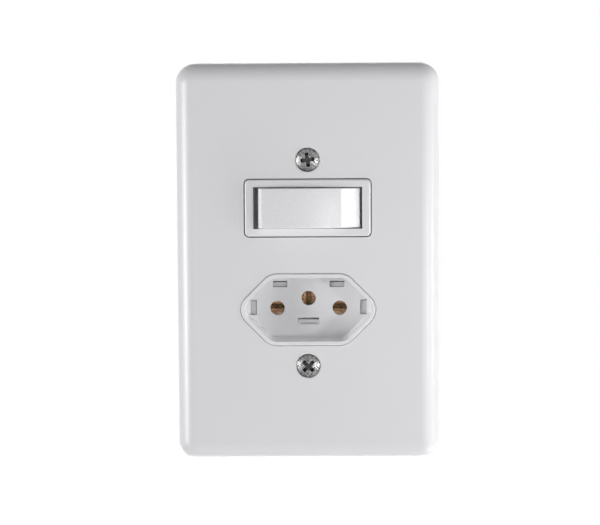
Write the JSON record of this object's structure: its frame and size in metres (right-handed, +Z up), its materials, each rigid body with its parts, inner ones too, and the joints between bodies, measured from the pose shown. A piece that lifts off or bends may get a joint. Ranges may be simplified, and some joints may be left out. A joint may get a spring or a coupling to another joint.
{
  "type": "switch and socket combination",
  "caption": "White wall plate with a horizontal rocker switch above a recessed hexagonal three-pin socket, on a steel strap for a wall box.",
  "frame": {"origin": "on the wall plane, midway between the two box screw slots", "axes": "+X right, +Z up, -Y out of the wall towards the room"},
  "size_m": [0.079, 0.0345, 0.12],
  "materials": {
    "plate_plastic": "gloss white",
    "rocker_plastic": "gloss white",
    "socket_plastic": "satin white",
    "base_plastic": "matt light grey",
    "strap_steel": "zinc plated",
    "screw_nickel": "nickel plated",
    "screw_zinc": "zinc plated",
    "contact_brass": "rolled",
    "contact_silver": "satin silver",
    "spring_steel": "drawn wire"
  },
  "bodies": {
    "root": {"wall_plate": "plate_plastic", "plate_screw_top": "screw_nickel", "plate_screw_bottom": "screw_nickel", "mounting_strap": "strap_steel", "switch_housing": "plate_plastic", "switch_base": "base_plastic", "common_terminal": "contact_brass", "switched_terminal": "contact_brass", "fixed_tip": "contact_silver", "common_clamp": "screw_zinc", "common_screw": "screw_zinc", "switched_clamp": "screw_zinc", "switched_screw": "screw_zinc", "socket_face": "socket_plastic", "socket_base": "base_plastic", "left_contact": "contact_brass", "right_contact": "contact_brass", "earth_contact": "contact_brass", "left_clamp": "screw_zinc", "left_screw": "screw_zinc", "right_clamp": "screw_zinc", "right_screw": "screw_zinc", "earth_clamp": "screw_zinc", "earth_screw": "screw_zinc"},
    "rocker": {"rocker": "rocker_plastic", "plunger_spring": "spring_steel"},
    "plunger": {"plunger": "base_plastic"},
    "seesaw": {"seesaw_contact": "contact_brass", "moving_tip": "contact_silver"}
  },
  "joints": [
    {"name": "rocker_tilt", "type": "hinge", "parent": "root", "child": "rocker", "pos_m": [0, -0.0026, 0.0166], "axis": [0, 0, 1], "range_deg": [-12, 0]},
    {"name": "seesaw_rock", "type": "hinge", "parent": "root", "child": "seesaw", "pos_m": [0, 0.008, 0.0166], "axis": [0, 0, 1], "range_deg": [0, 10]},
    {"name": "plunger_slide", "type": "slide", "parent": "rocker", "child": "plunger", "axis": [0.1045, -0.9945, 0], "range_m": [0, 0.001], "stiffness_N_per_m": 400, "springref_m": -0.001, "deforming": ["plunger_spring"]}
  ],
  "couplings": [
    {"joint": "seesaw_rock", "follows": "rocker_tilt", "ratio": -0.83333}
  ]
}
